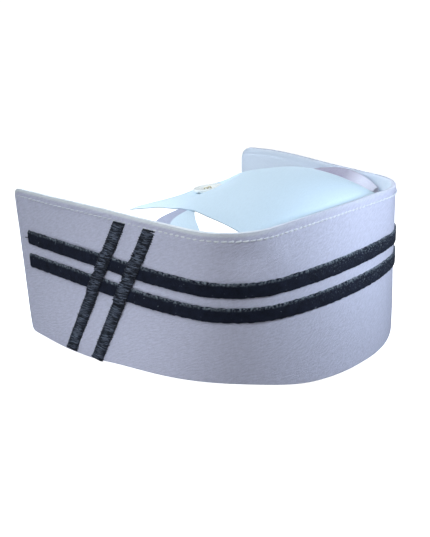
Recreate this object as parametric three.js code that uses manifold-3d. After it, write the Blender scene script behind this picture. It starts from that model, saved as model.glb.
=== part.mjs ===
// Nurse cap of stiff white cloth: an upright cuff, an arched crown tongue with a pointed tail,
// two side flaps that meet under it, a button that fastens them, and dark stripes on the cuff.
// Millimetres, +Z up, front towards -Y, wearer's right towards -X. It stands on the cuff's lower edge.
import * as THREE from 'three';
import { mergeVertices } from 'three/addons/utils/BufferGeometryUtils.js';
import Module from 'manifold-3d';

// Cuff: the lower edge follows the head, the upper edge has a straight front and tighter corners.
// Each edge is half a plan: straight front, round corner, straight wing, with its set-back from the front.
const CUFF_HEIGHT = 75;
const CUFF_THICKNESS = 2.2;
const LOWER_EDGE = { front: 3, radius: 84, turn: 84, wing: 68, setBack: 0 };
const UPPER_EDGE = { front: 45, radius: 29, turn: 84, wing: 111, setBack: 20 };
// Wing ends: rounded corner at the top, droop and swell of the upper edge, and how far the end leans out
// to the top, bulges below bulgeHeight and falls back above it.
const WING_END = { footRadius: 2.5, rise: 2.5, length: 30, bulgeHeight: 50, ease: 1.5 };
const WING_RIGHT = { corner: 3.8, droop: -0.4, swell: 0, lean: 5.5, bulge: 0, fall: 0 };
const WING_LEFT = { corner: 6.5, droop: 1.4, swell: 1.1, lean: 0, bulge: 6.0, fall: 7.5 };
const WING_SWELL = { station: 0.80, spread: 0.15 };
// The stiff lower edge lifts a little at both bends.
const BEND_LIFT = { station: 0.48, spread: 0.235, height: 3.8 };
const CUFF_STATIONS = 44;
const WING_END_STATIONS = [6.6, 4.4, 2.8, 1.4, 0.5, 0];

// Cloth of the crown, and the clearance between pieces that lie on each other.
const TONGUE_THICKNESS = 1.1;
const FLAP_THICKNESS = 1.1;
const CLEARANCE = 0.3;

// Tongue: a riser inside the front of the cuff, then sections from the front to the tip of the tail.
// crest and edge are the heights at the top and at the sides, half is half the width, shift moves the
// crest to the wearer's left as a share of half, and power is 2 for a round section, 1 for a tent.
const TONGUE_STATION = 0.268;
const TONGUE_RISER = [
  { height: 0.06, inset: 0.0 },
  { height: 0.26, inset: 0.0 },
  { height: 0.50, inset: 0.0 },
  { height: 0.72, inset: 0.2 },
  { height: 0.86, inset: 1.6 },
];
const TONGUE_SECTIONS = [
  { y: 28.0, crest: 74.5, edge: 69.1, half: 51.8, shift: 0.00, power: 2.0 },
  { y: 35.0, crest: 79.6, edge: 71.4, half: 51.5, shift: 0.00, power: 2.0 },
  { y: 44.0, crest: 83.2, edge: 73.3, half: 51.5, shift: 0.02, power: 2.0 },
  { y: 54.0, crest: 84.6, edge: 74.8, half: 52.0, shift: 0.13, power: 1.85 },
  { y: 64.0, crest: 84.7, edge: 75.5, half: 51.0, shift: 0.23, power: 1.7 },
  { y: 74.0, crest: 82.7, edge: 73.8, half: 48.0, shift: 0.29, power: 1.6 },
  { y: 84.0, crest: 80.2, edge: 71.0, half: 42.0, shift: 0.36, power: 1.55 },
  { y: 95.0, crest: 76.7, edge: 67.3, half: 35.0, shift: 0.39, power: 1.5 },
  { y: 110.0, crest: 69.8, edge: 62.6, half: 25.0, shift: 0.35, power: 1.6 },
  { y: 130.0, crest: 60.4, edge: 57.2, half: 15.0, shift: 0.20, power: 1.9 },
  { y: 150.0, crest: 53.0, edge: 51.4, half: 8.5, shift: 0.00, power: 2.0 },
  { y: 165.0, crest: 47.6, edge: 47.1, half: 4.2, shift: 0.00, power: 2.0 },
  { y: 172.0, crest: 45.0, edge: 44.9, half: 1.6, shift: 0.00, power: 2.0 },
];
const TONGUE_COLUMNS = 18;
const TONGUE_ROWS_PER_SECTION = 2;

// Seat of the button: the tongue and the ends of both flaps lie in parallel planes under it.
const SEAT = { x: -3, y: 102, z: 68.2, slopeX: 0.06, slopeY: -0.14, flat: 9, blend: 9.2 };
// Shallow dip of the tongue in front of the button.
const HOLLOW = { x: -19, y: 85, radius: 11, depth: 2.0 };

// Flaps: rows from the front edge to the back edge. station is the place on the cuff where the leg
// stands, ridge is the top of the fold beside the cuff, panel the start of the way in under the tongue,
// and reach how far the end lies past the middle. The left flap stands higher and drops more steeply.
const FLAP_RIGHT = [
  { station: 0.40, ridge: [62.2, 49.5, 71.8], panel: [45.0, 69.3, 73.8], reach: 4, endY: 94.0 },
  { station: 0.47, ridge: [63.0, 62.0, 70.9], panel: [44.3, 71.0, 73.65], reach: 3, endY: 96.5 },
  { station: 0.535, ridge: [62.6, 75.0, 69.0], panel: [43.2, 73.0, 73.2], reach: 2, endY: 99.0 },
  { station: 0.56, ridge: [61.6, 78.5, 68.1], panel: [39.0, 81.5, 70.8], reach: 0, endY: 103.0 },
  { station: 0.60, ridge: [60.2, 82.2, 66.9], panel: [32.5, 93.6, 66.7], reach: -6, endY: 110.0 },
];
const FLAP_LEFT = [
  { station: 0.405, ridge: [67.5, 40.0, 69.0], panel: [61.4, 44.6, 63.0], reach: 4, endY: 93.0 },
  { station: 0.48, ridge: [68.0, 53.0, 74.4], panel: [61.8, 58.4, 66.0], reach: 4, endY: 96.0 },
  { station: 0.55, ridge: [69.0, 67.0, 75.4], panel: [62.2, 71.2, 66.0], reach: 4, endY: 99.5 },
  { station: 0.655, ridge: [68.0, 86.0, 71.6], panel: [59.2, 89.2, 63.2], reach: 3, endY: 104.0 },
  { station: 0.72, ridge: [66.0, 97.0, 65.4], panel: [55.0, 99.5, 60.4], reach: -2, endY: 111.0 },
];
// Row of the right flap along which it has a pressed crease.
const FLAP_RIGHT_CREASE = 2;
// Leg of a flap: shares of the height of its ridge, and how far it stands off the cuff.
const FLAP_LEG = [
  { share: 0.08, inset: 0.0 },
  { share: 0.45, inset: 0.4 },
  { share: 0.88, inset: 2.4 },
];
const FLAP_STEPS = 4;
const FLAP_ROW_STEPS = 3;

// Ribbons that run round the cuff: height of the middle at the front, and its rise at the wing ends.
const RIBBON = { width: 7.0, thickness: 0.7, round: 0.3, endStation: 0.982, rise: 3.0, riseFrom: 0.42 };
const RIBBON_UPPER_HEIGHT = 49.2;
const RIBBON_LOWER_HEIGHT = 37.6;

// Embroidered stripes across the ribbons, on the wearer's right: stations at the top and foot.
const SLANT = { width: 7.0, thickness: 0.7, round: 0.3, topHeight: 71.0, footHeight: 1.2, ramp: 1.8, margin: 0.6 };
const SLANT_BACK = { top: 0.642, foot: 0.845 };
const SLANT_FRONT = { top: 0.548, foot: 0.75 };
const SLANT_STEP = 3;

// Button: outline of half its section, then the four holes.
const BUTTON_PROFILE = [
  { r: 0.0, z: 0.0 },
  { r: 4.6, z: 0.0 },
  { r: 6.9, z: 0.8 },
  { r: 8.0, z: 1.5 },
  { r: 7.9, z: 2.2 },
  { r: 7.4, z: 2.5 },
  { r: 6.7, z: 2.4 },
  { r: 5.6, z: 1.8 },
  { r: 4.6, z: 1.6 },
  { r: 0.0, z: 1.6 },
];
const BUTTON_SIDES = 32;
const BUTTON_HOLE = { radius: 0.9, offset: 1.35, sides: 12 };

// Depth from the front of the lower edge to the tip of the tail.
const CAP_DEPTH = 172.2;

const CLOTH_WHITE = 0xd9dee8;
const VELVET_NAVY = 0x14171f;
const THREAD_NAVY = 0x1c222c;
const BUTTON_WHITE = 0xe6ecec;

const rad = THREE.MathUtils.degToRad;
const lerp = THREE.MathUtils.lerp;
const smooth = (x) => THREE.MathUtils.smoothstep(x, 0, 1);

// Length of half an edge, and the plan point at a fraction of it.
function edgeLength(edge) {
  return edge.front + edge.radius * rad(edge.turn) + edge.wing;
}

function edgePoint(edge, fraction) {
  const turn = rad(edge.turn);
  const s = fraction * edgeLength(edge);
  const arcEnd = edge.front + edge.radius * turn;
  const angle = THREE.MathUtils.clamp((s - edge.front) / edge.radius, 0, turn);
  const beyond = Math.max(s - arcEnd, 0);
  const x = Math.min(s, edge.front) + edge.radius * Math.sin(angle) + beyond * Math.cos(turn);
  const y = edge.setBack + edge.radius * (1 - Math.cos(angle)) + beyond * Math.sin(turn);
  return new THREE.Vector2(x, y);
}

// Outer face of the cuff: station runs from -1 at the right wing end to 1 at the left one.
function cuffPoint(station, z) {
  const h = z / CUFF_HEIGHT;
  const low = edgePoint(LOWER_EDGE, Math.abs(station));
  const high = edgePoint(UPPER_EDGE, Math.abs(station));
  const x = lerp(low.x, high.x, h) * Math.sign(station);
  return new THREE.Vector3(x, lerp(low.y, high.y, h), z);
}

function cuffNormal(station, z) {
  const d = 0.004;
  const along = cuffPoint(station + d, z).sub(cuffPoint(station - d, z));
  const up = cuffPoint(station, z + 1).sub(cuffPoint(station, z - 1));
  return along.cross(up).normalize();
}

// Point off the outer face, moved level so that it keeps its height.
function onCuff(station, z, offset) {
  const normal = cuffNormal(station, z);
  const level = new THREE.Vector3(normal.x, normal.y, 0);
  return cuffPoint(station, z).addScaledVector(level, offset / level.lengthSq());
}

// Closed body from rings of points, each ring closed and in the same order, with flat ends.
function ringSolid(rings, section) {
  const count = section.length;
  const positions = rings.flat().flatMap((p) => [p.x, p.y, p.z]);
  const index = [];
  for (let i = 0; i + 1 < rings.length; i += 1) {
    for (let j = 0; j < count; j += 1) {
      const k = (j + 1) % count;
      const a = i * count + j;
      const b = i * count + k;
      index.push(a, b, b + count, a, b + count, a + count);
    }
  }
  const last = (rings.length - 1) * count;
  for (const [a, b, c] of THREE.ShapeUtils.triangulateShape(section, [])) {
    index.push(a, c, b, last + a, last + b, last + c);
  }
  return outward(positions, index);
}

// Closed body from a grid of points on the middle of a sheet, thickened both ways.
function sheetSolid(grid, thickness) {
  const rows = grid.length;
  const columns = grid[0].length;
  const faces = [[], []];
  for (let i = 0; i < rows; i += 1) {
    for (let j = 0; j < columns; j += 1) {
      const down = grid[Math.min(i + 1, rows - 1)][j].clone().sub(grid[Math.max(i - 1, 0)][j]);
      const across = grid[i][Math.min(j + 1, columns - 1)].clone().sub(grid[i][Math.max(j - 1, 0)]);
      const normal = down.cross(across).normalize();
      faces[0].push(grid[i][j].clone().addScaledVector(normal, thickness / 2));
      faces[1].push(grid[i][j].clone().addScaledVector(normal, -thickness / 2));
    }
  }
  const positions = faces.flat().flatMap((p) => [p.x, p.y, p.z]);
  const under = rows * columns;
  const index = [];
  for (let i = 0; i + 1 < rows; i += 1) {
    for (let j = 0; j + 1 < columns; j += 1) {
      const a = i * columns + j;
      const b = a + columns;
      index.push(a, b, b + 1, a, b + 1, a + 1);
      index.push(under + a, under + b + 1, under + b, under + a, under + a + 1, under + b + 1);
    }
  }
  const rim = [];
  for (let j = 0; j + 1 < columns; j += 1) rim.push(j);
  for (let i = 0; i + 1 < rows; i += 1) rim.push(i * columns + columns - 1);
  for (let j = columns - 1; j > 0; j -= 1) rim.push((rows - 1) * columns + j);
  for (let i = rows - 1; i > 0; i -= 1) rim.push(i * columns);
  rim.forEach((a, n) => {
    const b = rim[(n + 1) % rim.length];
    index.push(a, b, under + b, a, under + b, under + a);
  });
  return outward(positions, index);
}

// Geometry whose triangles face out, found from the sign of its volume.
function outward(positions, index) {
  const corner = (n) => new THREE.Vector3().fromArray(positions, index[n] * 3);
  let volume = 0;
  for (let n = 0; n < index.length; n += 3) {
    volume += corner(n).dot(corner(n + 1).cross(corner(n + 2)));
  }
  const geometry = new THREE.BufferGeometry();
  geometry.setAttribute('position', new THREE.Float32BufferAttribute(positions, 3));
  geometry.setIndex(volume > 0 ? index : index.slice().reverse());
  geometry.computeVertexNormals();
  return geometry;
}

// Stations along the cuff, closer together at the rounded wing ends.
function cuffStations(limit) {
  const length = edgeLength(UPPER_EDGE);
  const half = [];
  const start = limit - (WING_END_STATIONS[0] + 2) / length;
  for (let i = 0; i <= CUFF_STATIONS; i += 1) half.push((start * i) / CUFF_STATIONS);
  for (const distance of WING_END_STATIONS) half.push(limit - distance / length);
  const mirrored = half.slice(1).reverse().map((s) => -s);
  return [...mirrored, ...half];
}

function cuffGeometry() {
  const length = edgeLength(UPPER_EDGE);
  const sides = [0, 0.06, 0.35, 0.7, 1];
  const arch = [0.2, 0.5, 0.8];
  const half = CUFF_THICKNESS / 2;
  const section = [];
  for (const f of sides) section.push(new THREE.Vector2(0, f));
  for (const f of arch) {
    section.push(new THREE.Vector2(-half * (1 - Math.cos(f * Math.PI)), 1 + 0.1 * Math.sin(f * Math.PI)));
  }
  for (const f of [...sides].reverse()) section.push(new THREE.Vector2(-CUFF_THICKNESS, f));
  const rings = cuffStations(1).map((station) => {
    const d = (1 - Math.abs(station)) * length;
    const end = Math.max(1 - d / WING_END.length, 0) ** WING_END.ease;
    const wing = station < 0 ? WING_RIGHT : WING_LEFT;
    const swell = wing.swell * Math.exp(-(((Math.abs(station) - WING_SWELL.station) / WING_SWELL.spread) ** 2));
    const top = CUFF_HEIGHT - wing.droop * end + swell - cornerCut(d, wing.corner);
    const foot = WING_END.rise * end + cornerCut(d, WING_END.footRadius) + bendLift(station);
    const place = (z, offset) => {
      const reach = 1 + wingLean(wing, z) / length;
      return onCuff(station * reach, z, offset);
    };
    const ring = sides.map((f) => place(lerp(foot, top - half, f), 0));
    for (const f of arch) {
      const turn = f * Math.PI;
      ring.push(place(top - half + half * Math.sin(turn), -half * (1 - Math.cos(turn))));
    }
    for (const f of [...sides].reverse()) ring.push(place(lerp(foot, top - half, f), -CUFF_THICKNESS));
    return ring;
  });
  return ringSolid(rings, section);
}

// How far the end of a wing reaches past its plain cut at a height.
function wingLean({ lean, bulge, fall }, z) {
  const { bulgeHeight, ease } = WING_END;
  const low = Math.sin((Math.min(z / bulgeHeight, 1) * Math.PI) / 2);
  const high = Math.max((z - bulgeHeight) / (CUFF_HEIGHT - bulgeHeight), 0) ** ease;
  return (lean * z) / CUFF_HEIGHT + bulge * low - fall * high;
}

function bendLift(station) {
  return BEND_LIFT.height * Math.exp(-(((Math.abs(station) - BEND_LIFT.station) / BEND_LIFT.spread) ** 4));
}

// Height lost to a rounded corner at a distance from the wing end.
function cornerCut(distance, radius) {
  if (distance >= radius) return 0;
  return radius - Math.sqrt(radius ** 2 - (radius - distance) ** 2);
}

function ribbonHeight(middle, station) {
  const t = Math.max((Math.abs(station) - RIBBON.riseFrom) / (1 - RIBBON.riseFrom), 0);
  return middle + RIBBON.rise * t;
}

// Section of a raised stripe: across runs over its width, out is its height off the cloth.
function stripeSection({ width, thickness, round }) {
  const half = width / 2;
  return [
    new THREE.Vector2(half, 0),
    new THREE.Vector2(half, thickness - round),
    new THREE.Vector2(half - round, thickness),
    new THREE.Vector2(-half + round, thickness),
    new THREE.Vector2(-half, thickness - round),
    new THREE.Vector2(-half, 0),
  ];
}

function ribbonGeometry(middle) {
  const section = stripeSection(RIBBON);
  const rings = cuffStations(RIBBON.endStation).map((station) => {
    const z = ribbonHeight(middle, station);
    return section.map((p) => onCuff(station, z + p.x, CLEARANCE + p.y));
  });
  return ringSolid(rings, section);
}

// A slanted stripe lies on the cuff and climbs over each ribbon that it crosses.
function slantGeometry({ top, foot }) {
  const section = stripeSection(SLANT);
  const length = edgeLength(LOWER_EDGE);
  const span = SLANT.topHeight - SLANT.footHeight;
  const stationAt = (z) => lerp(foot, top, (z - SLANT.footHeight) / span);
  const climb = RIBBON.thickness + CLEARANCE;
  const levels = [{ z: SLANT.footHeight, offset: 0 }];
  for (const middle of [RIBBON_LOWER_HEIGHT, RIBBON_UPPER_HEIGHT]) {
    const z = ribbonHeight(middle, stationAt(middle));
    const reach = RIBBON.width / 2 + SLANT.margin;
    levels.push({ z: z - reach - SLANT.ramp, offset: 0 }, { z: z - reach, offset: climb });
    levels.push({ z: z + reach, offset: climb }, { z: z + reach + SLANT.ramp, offset: 0 });
  }
  levels.push({ z: SLANT.topHeight, offset: 0 });
  levels.sort((a, b) => a.z - b.z);
  const rows = [];
  for (let i = 0; i + 1 < levels.length; i += 1) {
    const steps = Math.max(Math.round((levels[i + 1].z - levels[i].z) / SLANT_STEP), 1);
    for (let k = 0; k < steps; k += 1) {
      const t = k / steps;
      const z = lerp(levels[i].z, levels[i + 1].z, t);
      rows.push({ z, offset: lerp(levels[i].offset, levels[i + 1].offset, t) });
    }
  }
  rows.push(levels[levels.length - 1]);
  const rings = rows.map(({ z, offset }) => section.map((p) => {
    const station = -(stationAt(z) + p.x / length);
    return onCuff(station, z, CLEARANCE + offset + p.y);
  }));
  return ringSolid(rings, section);
}

// Plane of the button's seat, lowered by a depth square to it.
const seatNormal = new THREE.Vector3(-SEAT.slopeX, -SEAT.slopeY, 1).normalize();

function seatHeight(x, y, depth) {
  return SEAT.z + (x - SEAT.x) * SEAT.slopeX + (y - SEAT.y) * SEAT.slopeY - depth / seatNormal.z;
}

// Height of a crown sheet drawn down to the seat around the button.
function drawnDown({ x, y, z }, depth) {
  const distance = Math.hypot(x - SEAT.x, y - SEAT.y);
  return lerp(seatHeight(x, y, depth), z, smooth((distance - SEAT.flat) / SEAT.blend));
}

// Depth of the dip in front of the button.
function hollowDepth({ x, y }) {
  const part = Math.hypot(x - HOLLOW.x, y - HOLLOW.y) / HOLLOW.radius;
  return HOLLOW.depth * Math.exp(-(part ** 2));
}

// Smooth sheet through rows of control points, all rows with the same number of points.
function splineGrid(rows, stepsAlong, stepsAcross) {
  const across = rows.map((row) => sampled(row, stepsAcross));
  const columns = across[0].map((_, j) => sampled(across.map((row) => row[j]), stepsAlong));
  return columns[0].map((_, i) => columns.map((column) => column[i]));
}

// The same, but smooth only on both sides of a creased row.
function creasedGrid(rows, crease, stepsAlong, stepsAcross) {
  const front = splineGrid(rows.slice(0, crease + 1), stepsAlong, stepsAcross);
  const back = splineGrid(rows.slice(crease), stepsAlong, stepsAcross);
  return [...front.slice(0, -1), ...back];
}

function sampled(points, stepsEach) {
  const curve = new THREE.CatmullRomCurve3(points, false, 'centripetal');
  return curve.getPoints((points.length - 1) * stepsEach);
}

function tongueGeometry() {
  const inside = -(CUFF_THICKNESS + CLEARANCE + TONGUE_THICKNESS / 2);
  const columns = [];
  for (let j = 0; j <= TONGUE_COLUMNS; j += 1) columns.push((2 * j) / TONGUE_COLUMNS - 1);
  const controls = [];
  for (const { height, inset } of TONGUE_RISER) {
    controls.push(columns.map((a) => onCuff(a * TONGUE_STATION, height * CUFF_HEIGHT, inside - inset)));
  }
  for (const { y, crest, edge, half, shift, power } of TONGUE_SECTIONS) {
    controls.push(columns.map((a) => {
      const fall = Math.abs(a - shift) / (1 - Math.sign(a - shift) * shift);
      return new THREE.Vector3(a * half, y, lerp(crest, edge, fall ** power));
    }));
  }
  const grid = splineGrid(controls, TONGUE_ROWS_PER_SECTION, 1);
  const crown = TONGUE_RISER.length * TONGUE_ROWS_PER_SECTION;
  grid.forEach((row, i) => {
    for (const p of row) {
      if (i >= crown) p.z -= hollowDepth(p);
      p.z = drawnDown(p, 0);
    }
  });
  return sheetSolid(grid, TONGUE_THICKNESS);
}

// side is -1 for the wearer's right and 1 for the left, depth is how far the end lies under the tongue,
// and crease is the row of a pressed crease, or 0 for none.
function flapGeometry(rows, side, depth, crease) {
  const inside = -(CUFF_THICKNESS + CLEARANCE + FLAP_THICKNESS / 2);
  const controls = rows.map(({ station, ridge, panel, reach, endY }) => {
    const points = FLAP_LEG.map(({ share, inset }) => (
      onCuff(side * station, share * ridge[2], inside - inset)
    ));
    const end = new THREE.Vector3(-side * reach, endY, seatHeight(-side * reach, endY, depth));
    const start = new THREE.Vector3(side * panel[0], panel[1], panel[2]);
    points.push(new THREE.Vector3(side * ridge[0], ridge[1], ridge[2]));
    points.push(start, start.clone().lerp(end, 0.5), end);
    return points;
  });
  const grid = crease
    ? creasedGrid(controls, crease, FLAP_ROW_STEPS, FLAP_STEPS)
    : splineGrid(controls, FLAP_ROW_STEPS, FLAP_STEPS);
  for (const row of grid) {
    for (const p of row) p.z = drawnDown(p, depth);
  }
  return sheetSolid(grid, FLAP_THICKNESS);
}

const wasm = await Module();
wasm.setup();

function solidOf(geometry) {
  const bare = geometry.clone();
  bare.deleteAttribute('normal');
  bare.deleteAttribute('uv');
  const merged = mergeVertices(bare, 1e-4);
  return new wasm.Manifold(new wasm.Mesh({
    numProp: 3,
    vertProperties: new Float32Array(merged.attributes.position.array),
    triVerts: new Uint32Array(merged.index.array),
  }));
}

function geometryOf(solid) {
  const mesh = solid.getMesh();
  const geometry = new THREE.BufferGeometry();
  geometry.setAttribute('position', new THREE.Float32BufferAttribute(mesh.vertProperties, 3));
  geometry.setIndex(Array.from(mesh.triVerts));
  geometry.computeVertexNormals();
  return geometry;
}

function buttonGeometry() {
  const profile = BUTTON_PROFILE.map(({ r, z }) => new THREE.Vector2(r, z));
  const disc = new THREE.LatheGeometry(profile, BUTTON_SIDES).rotateX(Math.PI / 2);
  let body = solidOf(disc);
  for (const sx of [-1, 1]) {
    for (const sy of [-1, 1]) {
      const { radius, offset, sides } = BUTTON_HOLE;
      const hole = new THREE.CylinderGeometry(radius, radius, 12, sides).rotateX(Math.PI / 2);
      hole.translate(sx * offset, sy * offset, 0);
      body = body.subtract(solidOf(hole));
    }
  }
  return geometryOf(body);
}

const cloth = new THREE.MeshStandardMaterial({ color: CLOTH_WHITE, roughness: 0.85, metalness: 0 });
const velvet = new THREE.MeshStandardMaterial({ color: VELVET_NAVY, roughness: 0.95, metalness: 0 });
const thread = new THREE.MeshStandardMaterial({ color: THREAD_NAVY, roughness: 0.7, metalness: 0 });
const shell = new THREE.MeshStandardMaterial({ color: BUTTON_WHITE, roughness: 0.35, metalness: 0 });

const cap = new THREE.Group();
const pieces = new THREE.Group();
pieces.position.y = -CAP_DEPTH / 2;
cap.add(pieces);

function addPiece(name, geometry, material) {
  const mesh = new THREE.Mesh(geometry, material);
  mesh.name = name;
  pieces.add(mesh);
  return mesh;
}

const rightFlapDepth = (TONGUE_THICKNESS + FLAP_THICKNESS) / 2 + CLEARANCE;
const leftFlapDepth = rightFlapDepth + FLAP_THICKNESS + CLEARANCE;

addPiece('cuff_band', cuffGeometry(), cloth);
addPiece('crown_tongue', tongueGeometry(), cloth);
addPiece('side_flap_right', flapGeometry(FLAP_RIGHT, -1, rightFlapDepth, FLAP_RIGHT_CREASE), cloth);
addPiece('side_flap_left', flapGeometry(FLAP_LEFT, 1, leftFlapDepth, 0), cloth);
addPiece('stripe_upper', ribbonGeometry(RIBBON_UPPER_HEIGHT), velvet);
addPiece('stripe_lower', ribbonGeometry(RIBBON_LOWER_HEIGHT), velvet);
addPiece('slant_stripe_back', slantGeometry(SLANT_BACK), thread);
addPiece('slant_stripe_front', slantGeometry(SLANT_FRONT), thread);

const button = addPiece('button', buttonGeometry(), shell);
button.position.set(SEAT.x, SEAT.y, SEAT.z).addScaledVector(seatNormal, TONGUE_THICKNESS / 2 + CLEARANCE);
button.quaternion.setFromUnitVectors(new THREE.Vector3(0, 0, 1), seatNormal);

export default cap;
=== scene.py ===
"""Looks of a stiff white nurse cap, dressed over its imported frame. Metres, front towards -Y."""

import math

import bpy
import numpy as np
from mathutils import Matrix, Vector, noise


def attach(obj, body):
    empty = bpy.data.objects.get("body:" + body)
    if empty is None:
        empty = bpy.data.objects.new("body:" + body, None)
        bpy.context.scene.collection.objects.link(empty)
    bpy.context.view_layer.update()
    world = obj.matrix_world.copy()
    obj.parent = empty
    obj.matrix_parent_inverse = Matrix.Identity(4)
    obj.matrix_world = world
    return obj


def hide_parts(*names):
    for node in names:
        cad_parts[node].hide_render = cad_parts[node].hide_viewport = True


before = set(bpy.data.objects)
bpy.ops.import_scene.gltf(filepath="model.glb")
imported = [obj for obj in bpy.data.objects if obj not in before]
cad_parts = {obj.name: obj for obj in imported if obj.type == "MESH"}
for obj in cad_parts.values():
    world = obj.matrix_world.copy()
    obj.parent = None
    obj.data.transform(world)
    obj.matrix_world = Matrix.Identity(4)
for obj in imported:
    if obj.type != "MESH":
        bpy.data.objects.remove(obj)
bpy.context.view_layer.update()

# Cuff: the lower edge follows the head, the upper edge has a straight front and tighter corners.
CUFF_HEIGHT = 0.075
CUFF_THICKNESS = 0.0022
CUFF_CUT = (0.400, 0.075)
LOWER_EDGE = {"front": 0.003, "radius": 0.084, "turn": math.radians(84), "wing": 0.068, "set_back": 0.0}
UPPER_EDGE = {"front": 0.045, "radius": 0.029, "turn": math.radians(84), "wing": 0.111, "set_back": 0.020}
HALF_DEPTH = 0.0861
WING_END = {"foot_radius": 0.0025, "rise": 0.0025, "length": 0.030, "bulge_height": 0.050}
# Wings: corner at the top, droop and swell of the upper edge, and how the end leans, bulges and falls back.
WING_RIGHT = {"corner": 0.0038, "droop": -0.0004, "swell": 0.0, "lean": 0.0055, "bulge": 0.0, "fall": 0.0}
WING_LEFT = {"corner": 0.0065, "droop": 0.0014, "swell": 0.0011, "lean": 0.0, "bulge": 0.0060, "fall": 0.0075}
WING_SWELL = {"station": 0.80, "spread": 0.15}
# The stiff lower edge lifts a little at both bends.
BEND_LIFT = {"station": 0.48, "spread": 0.235, "height": 0.0038}
CUFF_COLUMNS = 560
CUFF_ROWS = 42
CUFF_END_SHARE = 0.05
CUFF_ROUNDING = 0.0009
CUFF_FOOT_LIFT = 0.0003
# Unevenness of the stiff cloth: wave lengths along and up, depth and seed; it grows from the foot upwards.
CUFF_SWAY = {"along": 0.030, "up": 0.024, "depth": 0.00045, "seed": 1.0}
CUFF_RIPPLE = {"along": 0.008, "up": 0.007, "depth": 0.00006, "seed": 2.0}
CUFF_FREE_FROM_FOOT = 0.010
# Dents of the cuff: place along it, height, half width, half height and depth.
CUFF_DENTS = [(-0.060, 0.063, 0.010, 0.006, 0.0013), (-0.042, 0.060, 0.006, 0.007, -0.0008)]

# Topstitching of the cuff: distance from the edge, length of a stitch with its gap, and the thread.
STITCH_INSET = 0.0036
STITCH_PITCH = 0.0031
STITCH_END = 0.0010
STITCH_LENGTH = 0.0024
STITCH_RADIUS = 0.00042
STITCH_TILT = 0.00035
STITCH_SINK = 0.00010
STITCH_PINCH = 0.20
STITCH_PINCH_WIDTH = 0.0009
STITCH_SIDES = 6
THREAD_TAPER = 0.45
STITCH_SEED = 41
# Stitches before this station, on the right wing, are thinner and darker.
STITCH_THIN_DARK = 0.72
STITCH_THIN_DARK_FROM = -0.52
# Fine stitches down the wing ends.
WING_STITCH_INSET = 0.0026
WING_STITCH_RADIUS = 0.00020
WING_STITCH_TONE = 0.0
WING_STITCH_FOOT = 0.006

# Painted highlight along the folded upper edge: where it starts and is full below the edge,
# and the places along the cut between which it fades to what is left.
FOLD_HIGHLIGHT_START = 0.0022
FOLD_HIGHLIGHT_FULL = 0.0010
FOLD_HIGHLIGHT_FADE = (0.12, 0.17)
FOLD_HIGHLIGHT_LEFT = 0.2
FOLD_HIGHLIGHT_COLOUR = (0.93, 0.96, 0.98)
# Cloth colours, between the yarns and on top of them.
CUFF_SHADE = (0.575, 0.57, 0.695)
CUFF_LIGHT = (0.715, 0.71, 0.865)
# Inner faces of the cuff, painted paler and bluer than the outside: painted light.
LIT_INSIDE_SHADE = (0.76, 0.84, 0.96)
LIT_INSIDE_LIGHT = (0.80, 0.88, 0.99)
# Crown and right flap: the cuff's white cloth, painted bluer and paler for the top light on it.
CROWN_SHADE = (0.675, 0.805, 0.90)
CROWN_LIGHT = (0.715, 0.855, 0.96)
# Left flap: the same white cloth, painted darker for the shade it lies in.
FLAP_SHADE = (0.64, 0.63, 0.73)
FLAP_LIGHT = (0.72, 0.71, 0.82)
# Painted shade on the left flap and along the back of the right flap, by their places across the cut.
LEFT_FLAP_SHADE_FROM = 0.0108
LEFT_FLAP_SHADE_FULL = 0.025
LEFT_FLAP_SHADE_COLOUR = (0.31, 0.28, 0.37)
RIGHT_FLAP_SHADE_AT = 0.0142
RIGHT_FLAP_SHADE_BLEND = 0.0005
RIGHT_FLAP_SHADE_COLOUR = (0.42, 0.425, 0.58)

# Crown cloth, its cuts, its thin free edges and the room between pieces that lie on each other.
TONGUE_THICKNESS = 0.0011
FLAP_THICKNESS = 0.0011
THIN_EDGE = {"share": 0.5, "width": 0.005}
EDGE_DROP = 0.0009
CLEARANCE = 0.0003
TONGUE_CUT = (0.105, 0.245)
FLAP_RIGHT_CUT = (0.040, 0.125)
FLAP_LEFT_CUT = (0.065, 0.130)
CROWN_ROUNDING = 0.00018

# Tongue: a riser inside the front of the cuff, then sections from the front to the tip of the tail.
TONGUE_STATION = 0.268
TONGUE_RISER = [(0.06, 0.0), (0.26, 0.0), (0.50, 0.0), (0.72, 0.0002), (0.86, 0.0016)]
# Each section: y from the front edge, height of crest and of edge, half width, shift of crest, power.
TONGUE_SECTIONS = [
    (0.028, 0.0745, 0.0691, 0.0518, 0.00, 2.0),
    (0.035, 0.0796, 0.0714, 0.0515, 0.00, 2.0),
    (0.044, 0.0832, 0.0733, 0.0515, 0.02, 2.0),
    (0.054, 0.0846, 0.0748, 0.0520, 0.13, 1.85),
    (0.064, 0.0847, 0.0755, 0.0510, 0.23, 1.7),
    (0.074, 0.0827, 0.0738, 0.0480, 0.29, 1.6),
    (0.084, 0.0802, 0.0710, 0.0420, 0.36, 1.55),
    (0.095, 0.0767, 0.0673, 0.0350, 0.39, 1.5),
    (0.110, 0.0698, 0.0626, 0.0250, 0.35, 1.6),
    (0.130, 0.0604, 0.0572, 0.0150, 0.20, 1.9),
    (0.150, 0.0530, 0.0514, 0.0085, 0.00, 2.0),
    (0.165, 0.0476, 0.0471, 0.0042, 0.00, 2.0),
    (0.172, 0.0450, 0.0449, 0.0016, 0.00, 2.0),
]
TONGUE_COLUMNS = 72
TONGUE_STEPS = 9

# Seat of the button: the tongue and the ends of both flaps lie in parallel planes under it.
SEAT = {"x": -0.003, "y": 0.102, "z": 0.0682, "slope_x": 0.06, "slope_y": -0.14}
SEAT_FLAT = 0.009
SEAT_BLEND = 0.0092
HOLLOW = {"x": -0.019, "y": 0.085, "radius": 0.011, "depth": 0.0020}

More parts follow.
